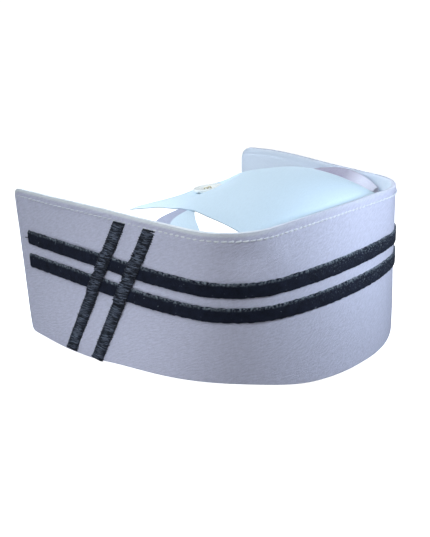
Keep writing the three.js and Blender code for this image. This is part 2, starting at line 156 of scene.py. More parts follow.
# Flaps, rows from front to back: station of the leg, top of the fold, start of the panel, reach, end y.
FLAP_RIGHT = [
    (0.40, (0.0622, 0.0495, 0.0718), (0.0450, 0.0693, 0.0738), 0.004, 0.0940),
    (0.47, (0.0630, 0.0620, 0.0709), (0.0443, 0.0710, 0.07365), 0.003, 0.0965),
    (0.535, (0.0626, 0.0750, 0.0690), (0.0432, 0.0730, 0.0732), 0.002, 0.0990),
    (0.56, (0.0616, 0.0785, 0.0681), (0.0390, 0.0815, 0.0708), 0.000, 0.1030),
    (0.60, (0.0602, 0.0822, 0.0669), (0.0325, 0.0936, 0.0667), -0.006, 0.1100),
]
FLAP_RIGHT_CREASE = 2
FLAP_LEFT = [
    (0.405, (0.0675, 0.0400, 0.0690), (0.0614, 0.0446, 0.0630), 0.004, 0.0930),
    (0.48, (0.0680, 0.0530, 0.0744), (0.0618, 0.0584, 0.0660), 0.004, 0.0960),
    (0.55, (0.0690, 0.0670, 0.0754), (0.0622, 0.0712, 0.0660), 0.004, 0.0995),
    (0.655, (0.0680, 0.0860, 0.0716), (0.0592, 0.0892, 0.0632), 0.003, 0.1040),
    (0.72, (0.0660, 0.0970, 0.0654), (0.0550, 0.0995, 0.0604), -0.002, 0.1110),
]
FLAP_LEG = [(0.08, 0.0), (0.45, 0.0004), (0.88, 0.0024)]
FLAP_STEPS = 14
FLAP_ROW_STEPS = 14
FLAP_RIGHT_DEPTH = 0.0014
FLAP_LEFT_DEPTH = 0.0028

# Velvet ribbons round the cuff, their ragged edges and their pile.
RIBBON = {"width": 0.007, "thickness": 0.0007, "end": 0.982, "corner": 0.001}
RIBBON_RISE = {"height": 0.003, "station": 0.42}
RIBBON_LENGTH = 0.39
RIBBON_UPPER_HEIGHT = 0.0492
RIBBON_LOWER_HEIGHT = 0.0376
RIBBON_COLUMNS = 620
RIBBON_ROWS = 12
RIBBON_GAP = 0.00008
RIBBON_CROWN = 0.00008
RIBBON_ROUNDING = 0.00026
RAGGED = {"grain": 0.0011, "depth": 0.00016}
PILE_DEPTH = 0.00016
PILE_GRAIN = 0.0006

# Embroidered stripes on the wearer's right: stations at the top and the foot, and their threads.
SLANT = {"width": 0.0079, "top": 0.071, "foot": 0.0012, "ramp": 0.0018, "margin": 0.0006}
SLANT_BACK = (0.642, 0.845)
SLANT_FRONT = (0.548, 0.75)
SATIN = {"pitch": 0.00115, "radius": 0.00052, "bulge": 0.00022, "stray": 0.00032, "rake": 0.0008}
SATIN_LIFT = 0.0002
SATIN_TONE = (0.0, 0.05)
SATIN_SIDES = 5
SATIN_GROUND = {"share": 0.47, "lift": 0.00018, "length": 0.072, "thickness": 0.00030, "rounding": 0.00010}
SATIN_GROUND_GRID = (7, 90)
# Strands on top of a stripe, lighter with a painted glint: how many, and the range of each measure.
SATIN_STROKES = 340
STROKE_LENGTH = (0.0020, 0.0052)
STROKE_RADIUS = (0.00009, 0.00015)
STROKE_RAKE = (-0.15, 0.14)
STROKE_GLINT_TONE = (0.3, 1.0)
STROKE_LIFT = 0.00062
STROKE_DIVE = 0.0008
STROKE_MARGIN = 0.001
# Thread end beside the upper ribbon.
STRAY_REACH = (0.014, 0.001)
STRAY = {"drop": 0.0008, "rise": 0.0004, "lift": 0.0003, "bow": 0.0003, "radius": 0.00022, "tone": 0.1}

# Button, seated on the tongue.
BUTTON = {"radius": 0.008, "rim_foot": 0.0010, "rim_top": 0.0024, "rim_width": 0.0011}
BUTTON_DISH = {"width": 0.0022, "depth": 0.0008}
BUTTON_FOOT = {"width": 0.0034, "depth": 0.0010}
BUTTON_HOLE = {"radius": 0.0009, "offset": 0.00135, "depth": 0.01, "sides": 20}
BUTTON_SIDES = 72
BUTTON_ROUNDING = 0.00028
# Strands of the button's thread: places along a bar as shares of the holes' offset, with their heights.
BUTTON_BAR = [(-1.0, 0.0006), (-0.95, 0.0017), (-0.5, 0.0022), (0.5, 0.0022), (0.95, 0.0017), (1.0, 0.0006)]
BUTTON_STRAND = {"gap": 0.0003, "crown": 0.0001, "radius": 0.00021, "tone": 0.6}

# Cloth patterns are laid out in the cut's own metres, as shares of this span.
CLOTH_SPAN = 0.5
WEAVE_PITCH = 0.00045
CUFF_RELIEF = 0.0009
CROWN_RELIEF = 0.0003
# Weave: turn and stretch of its faint streaks, stretch of its slubs, and the share of each in the look.
STREAK_TURN = math.radians(24)
STREAK_STRETCH = (7.0, 1.8, 1.0)
SLUB_STRETCH = (0.06, 0.9)
STREAK_SHARE = 0.45
MOTTLE_SHARE = 0.25
SLUB_SHARE = 0.15
YARN_HEIGHT_SHARE = 0.4
YARN_LIGHT_SHARE = 0.25
# Threads: dark and light colour, roughness, fineness of the twist and sheen.
THREADS = {
    # The navy satin's light colour is a painted glint.
    "navy_satin": ((0.004, 0.006, 0.014), (0.24, 0.28, 0.37), 0.5, 1500.0, 0.0),
    "white_thread": ((0.60, 0.62, 0.72), (0.97, 0.98, 1.0), 0.6, 1800.0, 0.1),
    "cream_thread": ((0.55, 0.50, 0.36), (0.88, 0.82, 0.62), 0.6, 1800.0, 0.1),
}
# Velvet: its dark and light navy, pale lint, and the painted sheen on its upper edge and in finer specks on
# the front.
VELVET_DARK = (0.0035, 0.0045, 0.010)
VELVET_LIGHT = (0.015, 0.019, 0.038)
VELVET_SHEEN_AND_LINT = (0.25, 0.29, 0.33)
VELVET_GRAIN = {"pile": 2600.0, "brushed": 240.0, "tufts": 900.0, "lint": 760.0, "specks": 1300.0}
EDGE_SHEEN_FROM = 0.76
EDGE_SHEEN_FULL = 0.97
SPECKS_FROM = 0.15
SPECKS_FULL = 0.85
SPECKS_BEND = (-0.04, 0.02)
SPECKS_WING = (-0.06, -0.01)
BUTTON_SHADE = (0.95, 0.97, 0.93)
BUTTON_LIGHT = (0.99, 0.99, 0.96)

# Camera of the picture, and the light.
CAMERA_PLACE = (-0.28453, -0.26169, 0.16960)
CAMERA_TURN = (math.radians(69.801), 0.0, math.radians(-45.917))
CAMERA_LENS = 50.06
FLOOR_SIZE = 40.0
FLOOR_GLOW = 1.0
ROOM_GLOW = 0.05
COOL_TINT = (0.85, 0.93, 1.0)
BLUE_TINT = (0.70, 0.84, 1.0)
WARM_TINT = (1.0, 0.78, 0.55)
POCKET_BEAM = math.radians(40)
SIDE_BEAM = math.radians(80)
# Lamps: name, place, aim, size, power, tint, and the spread of a narrow beam.
LAMPS = [
    ("front_left", (0.14, -0.28, 0.20), (0.02, -0.06, 0.06), 0.12, 0.24, COOL_TINT),
    ("front_near", (0.035, -0.145, 0.10), (0.02, -0.08, 0.05), 0.04, 0.080, BLUE_TINT),
    ("front_right", (-0.16, -0.22, 0.32), (0.03, 0.0, 0.06), 0.15, 0.36, COOL_TINT),
    ("right_high", (-0.30, -0.10, 0.30), (0.03, 0.0, 0.06), 0.15, 0.30, COOL_TINT),
    ("right_low", (-0.19, -0.02, 0.012), (-0.09, 0.0, 0.02), 0.05, 0.050, COOL_TINT),
    ("back_right", (-0.35, 0.35, 0.35), (0.0, 0.0, 0.06), 0.25, 0.74, COOL_TINT),
    ("over_far", (-0.05, 0.08, 0.30), (0.05, -0.02, 0.06), 0.10, 0.17, COOL_TINT),
    ("far_pocket", (-0.02, 0.06, 0.17), (0.07, -0.05, 0.07), 0.03, 0.005, COOL_TINT, POCKET_BEAM),
    ("inside_left", (-0.06, 0.20, 0.16), (0.07, 0.02, 0.07), 0.08, 0.33, COOL_TINT),
    ("low_front", (-0.30, -0.25, 0.02), (-0.06, -0.06, 0.02), 0.15, 0.046, WARM_TINT),
    ("left_side", (0.32, 0.12, 0.035), (0.09, 0.02, 0.04), 0.06, 0.13, COOL_TINT, SIDE_BEAM),
]


def share(low, high, part):
    return low + (high - low) * part


def smooth_step(value):
    t = np.clip(value, 0.0, 1.0)
    return t * t * (3.0 - 2.0 * t)


def soft_noise(x, y, seed):
    """Gentle unevenness from a few crossing waves, about -1 to 1."""
    total = np.zeros_like(x)
    for n in range(1, 6):
        angle = seed * 1.7 + n * 2.4
        wave = x * math.cos(angle) + y * math.sin(angle)
        total += np.sin(wave * (0.8 + 0.55 * n) + seed * n * 3.1) / n
    return total / 1.8


def unit(vectors):
    return vectors / np.linalg.norm(vectors, axis=-1, keepdims=True)


# Form of the cuff.
def edge_length(edge):
    return edge["front"] + edge["radius"] * edge["turn"] + edge["wing"]


def edge_point(edge, fraction):
    s = fraction * edge_length(edge)
    turn = edge["turn"]
    radius = edge["radius"]
    angle = np.clip((s - edge["front"]) / radius, 0.0, turn)
    beyond = np.maximum(s - edge["front"] - radius * turn, 0.0)
    x = np.minimum(s, edge["front"]) + radius * np.sin(angle) + beyond * math.cos(turn)
    y = edge["set_back"] + radius * (1.0 - np.cos(angle)) + beyond * math.sin(turn)
    return x, y


def cuff_point(station, z):
    """Outer face: station runs from -1 at the right wing end to 1 at the left one."""
    low_x, low_y = edge_point(LOWER_EDGE, np.abs(station))
    high_x, high_y = edge_point(UPPER_EDGE, np.abs(station))
    height = z / CUFF_HEIGHT
    x = share(low_x, high_x, height) * np.sign(station)
    y = share(low_y, high_y, height) - HALF_DEPTH
    return np.stack([x, y, z], axis=-1)


def on_cuff(station, z, offset):
    """Point off the outer face, moved level so that it keeps its height."""
    station, z, offset = (a.astype(float) for a in np.broadcast_arrays(station, z, offset))
    along = cuff_point(station + 0.004, z) - cuff_point(station - 0.004, z)
    up = cuff_point(station, z + 0.001) - cuff_point(station, z - 0.001)
    level = unit(np.cross(along, up)) * np.array([1.0, 1.0, 0.0])
    reach = offset / (level ** 2).sum(axis=-1)
    return cuff_point(station, z) + level * reach[..., None]


def of_wing(station, measure):
    return np.where(station < 0, WING_RIGHT[measure], WING_LEFT[measure])


def wing_lean(station, z):
    """How far the end of the wing reaches past its plain cut at a height."""
    bulge_height = WING_END["bulge_height"]
    low = np.sin(np.clip(z / bulge_height, 0.0, 1.0) * math.pi / 2)
    high = np.clip((z - bulge_height) / (CUFF_HEIGHT - bulge_height), 0.0, None) ** 1.5
    lean = of_wing(station, "lean") * z / CUFF_HEIGHT
    return lean + of_wing(station, "bulge") * low - of_wing(station, "fall") * high


def cuff_place(station, z, offset):
    """Point on the cuff's own cloth, whose wing ends aren't cut quite square."""
    reach = 1.0 + wing_lean(station, z) / edge_length(UPPER_EDGE)
    return on_cuff(station * reach, z, offset)


def corner_cut(distance, radius):
    inside = np.clip(radius - distance, 0.0, radius)
    return radius - np.sqrt(radius ** 2 - inside ** 2)


def cuff_limits(station):
    """Heights of the foot and the top of the cuff's cloth at a station."""
    distance = (1.0 - np.abs(station)) * edge_length(UPPER_EDGE)
    end = np.maximum(1.0 - distance / WING_END["length"], 0.0) ** 1.5
    swell = np.exp(-((np.abs(station) - WING_SWELL["station"]) / WING_SWELL["spread"]) ** 2)
    top = CUFF_HEIGHT - of_wing(station, "droop") * end + of_wing(station, "swell") * swell
    top = top - corner_cut(distance, of_wing(station, "corner"))
    bend = np.exp(-((np.abs(station) - BEND_LIFT["station"]) / BEND_LIFT["spread"]) ** 4)
    foot = WING_END["rise"] * end + corner_cut(distance, WING_END["foot_radius"]) + BEND_LIFT["height"] * bend
    return foot, top


def ribbon_height(middle, station):
    """Height of a ribbon's middle, which rises a little along the wings."""
    start = RIBBON_RISE["station"]
    rise = np.maximum((np.abs(station) - start) / (1.0 - start), 0.0)
    return middle + RIBBON_RISE["height"] * rise


# Form of the crown.
def seat_normal():
    return Vector((-SEAT["slope_x"], -SEAT["slope_y"], 1.0)).normalized()


def seat_height(x, y, depth):
    plane = SEAT["z"] + (x - SEAT["x"]) * SEAT["slope_x"] + (y - SEAT["y"]) * SEAT["slope_y"]
    return plane - depth / seat_normal().z


def drawn_down(grid, depth):
    """Crown cloth pulled down to the seat around the button, in measures from the front edge."""
    x = grid[..., 0]
    y = grid[..., 1]
    distance = np.hypot(x - SEAT["x"], y - SEAT["y"])
    free = smooth_step((distance - SEAT_FLAT) / SEAT_BLEND)
    grid[..., 2] = share(seat_height(x, y, depth), grid[..., 2], free)
    return grid


def through(points, steps):
    """Smooth curve, or rows of curves, through the points along the first axis."""
    before = 2.0 * points[:1] - points[1:2]
    after = 2.0 * points[-1:] - points[-2:-1]
    chain = np.concatenate([before, points, after])
    gap = np.linalg.norm(np.diff(chain, axis=0), axis=-1, keepdims=True) ** 0.5
    rows = []
    for i in range(len(points) - 1):
        a, b, c, d = chain[i:i + 4]
        g0, g1, g2 = gap[i:i + 3]
        leave = ((b - a) / g0 - (c - a) / (g0 + g1) + (c - b) / g1) * g1
        reach = ((c - b) / g1 - (d - b) / (g1 + g2) + (d - c) / g2) * g1
        for k in range(steps):
            t = k / steps
            bend = -3.0 * b + 3.0 * c - 2.0 * leave - reach
            twist = 2.0 * b - 2.0 * c + leave + reach
            rows.append(b + leave * t + bend * t ** 2 + twist * t ** 3)
    rows.append(points[-1])
    return np.stack(rows)


def creased(curves, steps, crease):
    """Sheet through the curves, smooth on both sides of a pressed crease."""
    if crease is None:
        return through(curves, steps)
    front = through(curves[:crease + 1], steps)
    back = through(curves[crease:], steps)
    return np.concatenate([front[:-1], back])


def thin_edge(gap):
    """Shares of the wall's thickness, less towards the free edges of a sheet."""
    return share(THIN_EDGE["share"], 1.0, smooth_step(gap / THIN_EDGE["width"]))


# Tools of the maker.
def deselect():
    if bpy.context.object and bpy.context.object.mode != "OBJECT":
        bpy.ops.object.mode_set(mode="OBJECT")
    bpy.ops.object.select_all(action="DESELECT")


def take(piece):
    deselect()
    piece.select_set(True)
    bpy.context.view_layer.objects.active = piece


def named(name):
    piece = bpy.context.object
    piece.name = name
    piece.data.name = name
    return piece


def apply_modifiers(piece):
    take(piece)
    for modifier in list(piece.modifiers):
        bpy.ops.object.modifier_apply(modifier=modifier.name)


def pick_faces(piece, wanted):
    """Edit mode with only the wanted faces selected."""
    take(piece)
    bpy.ops.object.mode_set(mode="EDIT")
    bpy.ops.mesh.select_mode(type="FACE")
    bpy.ops.mesh.select_all(action="DESELECT")
    bpy.ops.object.mode_set(mode="OBJECT")
    for face in piece.data.polygons:
        face.select = wanted(face)
    bpy.ops.object.mode_set(mode="EDIT")


def cloth_sheet(name, grid, cut, heights=None):
    """Flat grid of cut cloth bent to its place; its UV map keeps the cut's own measures."""
    rows = grid.shape[0] - 1
    columns = grid.shape[1] - 1
    deselect()
    bpy.ops.mesh.primitive_grid_add(x_subdivisions=columns, y_subdivisions=rows, size=1.0)
    piece = named(name)
    mesh = piece.data
    flat = np.empty(len(mesh.vertices) * 3)
    mesh.vertices.foreach_get("co", flat)
    flat = flat.reshape(-1, 3)
    i = np.rint((flat[:, 1] + 0.5) * rows).astype(int)
    j = np.rint((flat[:, 0] + 0.5) * columns).astype(int)
    mesh.vertices.foreach_set("co", grid[i, j].ravel())
    layer = mesh.uv_layers[0].data
    place = np.empty(len(layer) * 2)
    layer.foreach_get("uv", place)
    place = place.reshape(-1, 2)
    if heights is not None:
        place[:, 1] = np.interp(place[:, 1], np.linspace(0.0, 1.0, rows + 1), heights)
    place = place * np.array(cut) / CLOTH_SPAN
    layer.foreach_set("uv", place.ravel())
    mesh.update()
    return piece


def thicken(piece, thickness, rounding, segments, pinch=None):
    """Even wall on both sides of the sheet with rounded edges; pinch thins it along a seam."""
    wall = piece.modifiers.new("wall", "SOLIDIFY")
    wall.thickness = thickness
    wall.offset = 0.0
    if pinch is not None:
        group = piece.vertex_groups.new(name="wall")
        for index, weight in enumerate(pinch):
            group.add([index], float(weight), "REPLACE")
        wall.vertex_group = group.name
    edges = piece.modifiers.new("edges", "BEVEL")
    edges.limit_method = "ANGLE"
    edges.angle_limit = math.radians(50)
    edges.width = rounding
    edges.segments = segments
    apply_modifiers(piece)
    bpy.ops.object.shade_smooth_by_angle(angle=math.radians(50))
    return piece


def roughen(piece, depth, grain):
    """Uneven surface: each point moves along its normal by a fine noise."""
    mesh = piece.data
    normals = [vertex.normal.copy() for vertex in mesh.vertices]
    for vertex, normal in zip(mesh.vertices, normals):
        vertex.co += normal * noise.noise(vertex.co / grain) * depth
    mesh.update()


def thread_rings(path, radius, sides):
    """Points of the rings round a path, smaller at both ends."""
    along = unit(np.gradient(path, axis=0))
    axis = np.eye(3)[np.argmin(np.abs(along).sum(axis=0))]
    side = unit(np.cross(along, axis))
    over = np.cross(along, side)
    taper = np.ones(len(path))
    taper[[0, -1]] = THREAD_TAPER
    angles = (np.arange(sides) * (2.0 * math.pi / sides))[None, :, None]
    spoke = side[:, None] * np.cos(angles) + over[:, None] * np.sin(angles)
    rings = path[:, None] + spoke * (radius * taper)[:, None, None]
    return rings.reshape(-1, 3).tolist()


def thread_faces(start, rings, sides):
    """Faces between the rings of one thread, and its two closed ends."""
    faces = []
    for i in range(rings - 1):
        for j in range(sides):
            a = start + i * sides + j
            b = start + i * sides + (j + 1) % sides
            faces.append((a, b, b + sides, a + sides))
    last = start + (rings - 1) * sides
    faces.append(tuple(start + j for j in reversed(range(sides))))
    faces.append(tuple(last + j for j in range(sides)))
    return faces


def thread_mesh(name, paths, radii, tones, sides):
    """One mesh of many short threads, each round, thinner at its ends and closed, with its own tone."""
    points = []
    faces = []
    tone_of_points = []
    for path, radius, tone in zip(paths, radii, tones):
        faces.extend(thread_faces(len(points), len(path), sides))
        points.extend(thread_rings(np.asarray(path, dtype=float), radius, sides))
        tone_of_points.extend([tone] * (len(path) * sides))
    mesh = bpy.data.meshes.new(name)
    mesh.from_pydata(points, [], faces)
    mesh.attributes.new("tone", "FLOAT", "POINT").data.foreach_set("value", tone_of_points)
    piece = bpy.data.objects.new(name, mesh)
    bpy.context.collection.objects.link(piece)
    take(piece)
    bpy.ops.object.mode_set(mode="EDIT")
    bpy.ops.mesh.select_all(action="SELECT")
    bpy.ops.mesh.normals_make_consistent(inside=False)
    bpy.ops.object.mode_set(mode="OBJECT")
    bpy.ops.object.shade_smooth_by_angle(angle=math.radians(60))
    return piece


def even_threads(name, paths, radius, tone):
    return thread_mesh(name, paths, [radius] * len(paths), [tone] * len(paths), STITCH_SIDES)


def join(main, others):
    take(main)
    for other in others:
        other.select_set(True)
    bpy.ops.object.join()
    return main


# Node helpers.
def material(name):
    made = bpy.data.materials.new(name)
    made.use_nodes = True
    nodes = made.node_tree.nodes
    return made, nodes, made.node_tree.links, nodes["Principled BSDF"]


def math_node(tree, operation, a, b=None):
    node = tree.nodes.new("ShaderNodeMath")
    node.operation = operation
    for socket, value in zip(node.inputs, (a, b)):
        if value is None:
            continue
        if isinstance(value, (int, float)):
            socket.default_value = value
        else:
            tree.links.new(value, socket)
    return node.outputs[0]


def weighted(tree, a, a_share, b, b_share):
    """Sum of two values, each times its own share."""
    first = math_node(tree, "MULTIPLY", a, a_share)
    second = math_node(tree, "MULTIPLY", b, b_share)
    return math_node(tree, "ADD", first, second)


def noise_node(tree, vector, scale, detail=2.0, roughness=0.5):
    node = tree.nodes.new("ShaderNodeTexNoise")
    node.inputs["Scale"].default_value = scale
    node.inputs["Detail"].default_value = detail
    node.inputs["Roughness"].default_value = roughness
    tree.links.new(vector, node.inputs["Vector"])
    return node.outputs["Fac"]


def stretch_node(tree, vector, scale):
    node = tree.nodes.new("ShaderNodeMapping")
    node.inputs["Scale"].default_value = scale
    tree.links.new(vector, node.inputs["Vector"])
    return node.outputs["Vector"]


def blend_inputs(node):
    return [socket for socket in node.inputs if socket.type == "RGBA"]


def range_node(tree, value, from_low, from_high, to_low, to_high):
    node = tree.nodes.new("ShaderNodeMapRange")
    tree.links.new(value, node.inputs["Value"])
    node.inputs["From Min"].default_value = from_low
    node.inputs["From Max"].default_value = from_high
    node.inputs["To Min"].default_value = to_low
    node.inputs["To Max"].default_value = to_high
    return node.outputs["Result"]


def mixed_colour(tree, factor, low, high):
    """Blend of two colours, each fixed or from another node."""
    node = tree.nodes.new("ShaderNodeMix")
    node.data_type = "RGBA"
    tree.links.new(factor, node.inputs["Factor"])
    for socket, colour in zip(blend_inputs(node), (low, high)):
        if isinstance(colour, tuple):
            socket.default_value = (*colour, 1.0)
        else:
            tree.links.new(colour, socket)
    return [socket for socket in node.outputs if socket.type == "RGBA"][0]


def split_node(tree, vector):
    node = tree.nodes.new("ShaderNodeSeparateXYZ")
    tree.links.new(vector, node.inputs[0])
    return node.outputs


def scaled_node(tree, vector, scale):
    node = tree.nodes.new("ShaderNodeVectorMath")
    node.operation = "SCALE"
    tree.links.new(vector, node.inputs[0])
    tree.links.new(scale, node.inputs["Scale"])
    return node.outputs[0]


def cut_place(nodes):
    """Place on the cloth, in the cut's own measures."""
    node = nodes.new("ShaderNodeUVMap")
    node.uv_map = "UVMap"
    return node.outputs["UV"]


def grain_node(tree, vector, turn, stretch):
    """Noise drawn out along a slanting line."""
    node = tree.nodes.new("ShaderNodeMapping")
    node.vector_type = "TEXTURE"
    node.inputs["Rotation"].default_value = (0.0, 0.0, turn)
    node.inputs["Scale"].default_value = stretch
    tree.links.new(vector, node.inputs["Vector"])
    return noise_node(tree, node.outputs["Vector"], 1.0, 2.0, 0.6)


def bump_node(tree, height, strength, distance):
    node = tree.nodes.new("ShaderNodeBump")
    node.inputs["Strength"].default_value = strength
    node.inputs["Distance"].default_value = distance
    tree.links.new(height, node.inputs["Height"])
    return node.outputs["Normal"]


def new_group(name, inputs, outputs):
    group = bpy.data.node_groups.new(name, "ShaderNodeTree")
    for label, kind in inputs:
        group.interface.new_socket(name=label, in_out="INPUT", socket_type=kind)
    for label, kind in outputs:
        group.interface.new_socket(name=label, in_out="OUTPUT", socket_type=kind)
    entry = group.nodes.new("NodeGroupInput")
    leave = group.nodes.new("NodeGroupOutput")
    return group, entry.outputs, leave.inputs


def group_node(tree, group, **values):
    node = tree.nodes.new("ShaderNodeGroup")
    node.node_tree = group
    for label, value in values.items():
        socket = node.inputs[label.replace("_", " ")]
        if isinstance(value, (int, float)):
            socket.default_value = value
        else:
            tree.links.new(value, socket)
    return node.outputs


def plain_weave_group():
    """Plain weave of slightly uneven yarns: its height, and how light each place looks."""
    inputs = [("Place", "NodeSocketVector"), ("Yarns", "NodeSocketFloat")]
    outputs = [("Light", "NodeSocketFloat"), ("Height", "NodeSocketFloat")]
    group, entry, leave = new_group("plain_weave", inputs, outputs)
    yarns = scaled_node(group, entry["Place"], entry["Yarns"])
    split = split_node(group, yarns)
    along = math_node(group, "SINE", math_node(group, "MULTIPLY", split["X"], math.pi))
    across = math_node(group, "SINE", math_node(group, "MULTIPLY", split["Y"], math.pi))
    warp = math_node(group, "ABSOLUTE", along)
    weft = math_node(group, "ABSOLUTE", across)
    over = math_node(group, "GREATER_THAN", math_node(group, "MULTIPLY", along, across), 0.0)
    under = math_node(group, "SUBTRACT", 1.0, over)
    woven = weighted(group, warp, over, weft, under)
    long, short = SLUB_STRETCH
    slub_along = noise_node(group, stretch_node(group, yarns, (long, short, 1.0)), 1.0)
    slub_across = noise_node(group, stretch_node(group, yarns, (short, long, 1.0)), 1.0)
    slubs = math_node(group, "ADD", slub_along, slub_across)
    drawn = grain_node(group, yarns, STREAK_TURN, STREAK_STRETCH)
    streaks = range_node(group, drawn, 0.33, 0.67, 0.0, 1.0)
    mottle = range_node(group, noise_node(group, yarns, 0.45, 3.0, 0.7), 0.33, 0.67, 0.0, 1.0)
    cloudy = weighted(group, streaks, STREAK_SHARE, mottle, MOTTLE_SHARE)
    uneven = math_node(group, "ADD", math_node(group, "MULTIPLY", slubs, SLUB_SHARE), cloudy)
    height = math_node(group, "ADD", math_node(group, "MULTIPLY", woven, YARN_HEIGHT_SHARE), uneven)
    light = math_node(group, "ADD", math_node(group, "MULTIPLY", woven, YARN_LIGHT_SHARE), uneven)
    group.links.new(light, leave["Light"])
    group.links.new(height, leave["Height"])
    return group


def twisted_thread_group():
    """Twist of a sewing thread: slanting ridges with uneven shine."""
    inputs = [("Place", "NodeSocketVector"), ("Fineness", "NodeSocketFloat")]
    outputs = [("Light", "NodeSocketFloat"), ("Height", "NodeSocketFloat")]
    group, entry, leave = new_group("twisted_thread", inputs, outputs)
    fine = scaled_node(group, entry["Place"], entry["Fineness"])
    wave = group.nodes.new("ShaderNodeTexWave")
    wave.bands_direction = "DIAGONAL"
    wave.inputs["Scale"].default_value = 1.0
    wave.inputs["Distortion"].default_value = 1.5
    wave.inputs["Detail"].default_value = 1.0
    group.links.new(fine, wave.inputs["Vector"])
    uneven = noise_node(group, fine, 0.22, 2.0)
    light = weighted(group, wave.outputs["Fac"], 0.45, uneven, 0.55)
    group.links.new(light, leave["Light"])
    group.links.new(wave.outputs["Fac"], leave["Height"])
    return group


# Materials.
def band_mask(tree, place, light, start, full, fade):
    """Where a painted band of light or shade across the cut shows, broken by the weave, faded along it or
    not.
    """
    split = split_node(tree, place)
    within = range_node(tree, split["Y"], start / CLOTH_SPAN, full / CLOTH_SPAN, 0.0, 1.0)
    amount = math_node(tree, "MULTIPLY", within, range_node(tree, light, 0.3, 1.0, 0.7, 1.0))
    if fade:
        first, last = (length / CLOTH_SPAN for length in fade)
        kept = range_node(tree, split["X"], first, last, 1.0, FOLD_HIGHLIGHT_LEFT)
        amount = math_node(tree, "MULTIPLY", amount, kept)
    return amount


def cloth_material(name, weave, shade, light, band=None, inside=None, relief=CROWN_RELIEF):
    """White cotton: plain weave, slubs and faint mottling, with a painted band and painted inner light or
    none.
    """
    made, nodes, links, shader = material(name)
    tree = made.node_tree
    place = cut_place(nodes)
    woven = group_node(tree, weave, Place=place, Yarns=CLOTH_SPAN / WEAVE_PITCH)
    factor = range_node(tree, woven["Light"], 0.30, 1.0, 0.0, 1.0)
    colour = mixed_colour(tree, factor, shade, light)
    if inside is not None:
        # Inner faces painted paler and bluer: painted light.
        facing = nodes.new("ShaderNodeAttribute")
        facing.attribute_name = "inside"
        colour = mixed_colour(tree, facing.outputs["Fac"], colour, mixed_colour(tree, factor, *inside))
    # Painted band: a highlight along the cuff's fold, and shade on the flaps.
    if band is not None:
        start, full, band_colour, *fade = band
        amount = band_mask(tree, place, woven["Light"], start, full, fade)
        colour = mixed_colour(tree, amount, colour, band_colour)
    links.new(colour, shader.inputs["Base Color"])
    rough = range_node(tree, woven["Height"], 0.4, 1.2, 0.92, 0.78)
    links.new(rough, shader.inputs["Roughness"])
    links.new(bump_node(tree, woven["Height"], 0.6, relief), shader.inputs["Normal"])
    shader.inputs["Specular IOR Level"].default_value = 0.25
    shader.inputs["Sheen Weight"].default_value = 0.12
    shader.inputs["Sheen Roughness"].default_value = 0.5
    return made


def edge_sheen(tree, place, across):
    """Painted sheen: pale tufts along the upper edge of a ribbon."""
    top = RIBBON["width"] / CLOTH_SPAN
    edge = range_node(tree, across, top * EDGE_SHEEN_FROM, top * EDGE_SHEEN_FULL, 0.0, 1.0)
    tufts = range_node(tree, noise_node(tree, place, VELVET_GRAIN["tufts"], 2.0, 0.6), 0.42, 0.66, 0.0, 1.0)
    return math_node(tree, "MULTIPLY", edge, tufts)


def front_sheen_specks(tree, place, across):
    """Painted sheen in specks on the front, more of them in the upper half of a ribbon."""
    spot = split_node(tree, place)
    from_bend = range_node(tree, spot["X"], *SPECKS_BEND, 0.0, 1.0)
    to_wing = range_node(tree, spot["Y"], *SPECKS_WING, 1.0, 0.2)
    front = math_node(tree, "MULTIPLY", from_bend, to_wing)
    top = RIBBON["width"] / CLOTH_SPAN
    high = range_node(tree, across, top * SPECKS_FROM, top * SPECKS_FULL, 0.0, 1.0)
    specks = range_node(tree, noise_node(tree, place, VELVET_GRAIN["specks"], 1.0, 0.6), 0.58, 0.70, 0.0, 0.7)
    return math_node(tree, "MULTIPLY", math_node(tree, "MULTIPLY", front, high), specks)


def velvet_material():
    """Dark navy cotton velvet: short pile with brushed patches and lint, and a painted sheen in specks and on
    its upper edge.
    """
    made, nodes, links, shader = material("navy_velvet")
    tree = made.node_tree
    place = nodes.new("ShaderNodeTexCoord").outputs["Object"]
    across = split_node(tree, cut_place(nodes))["Y"]
    pile = noise_node(tree, place, VELVET_GRAIN["pile"], 2.0, 0.6)
    brushed = noise_node(tree, place, VELVET_GRAIN["brushed"], 3.0, 0.6)
    both = weighted(tree, pile, 0.6, brushed, 0.5)
    factor = range_node(tree, both, 0.38, 0.78, 0.0, 1.0)
    navy = mixed_colour(tree, factor, VELVET_DARK, VELVET_LIGHT)
    lint = range_node(tree, noise_node(tree, place, VELVET_GRAIN["lint"], 1.0, 0.5), 0.73, 0.80, 0.0, 0.5)
    # Painted sheen on the upper edge and in specks on the front, with pale lint.
    pale = math_node(tree, "MAXIMUM", edge_sheen(tree, place, across), front_sheen_specks(tree, place, across))
    pale = math_node(tree, "MAXIMUM", pale, lint)
    links.new(mixed_colour(tree, pale, navy, VELVET_SHEEN_AND_LINT), shader.inputs["Base Color"])
    links.new(range_node(tree, pile, 0.3, 0.7, 0.8, 1.0), shader.inputs["Roughness"])
    links.new(bump_node(tree, both, 0.8, 0.0005), shader.inputs["Normal"])
    shader.inputs["Specular IOR Level"].default_value = 0.15
    shader.inputs["Sheen Weight"].default_value = 0.12
    shader.inputs["Sheen Roughness"].default_value = 0.35
    shader.inputs["Sheen Tint"].default_value = (0.55, 0.63, 0.75, 1.0)
    return made


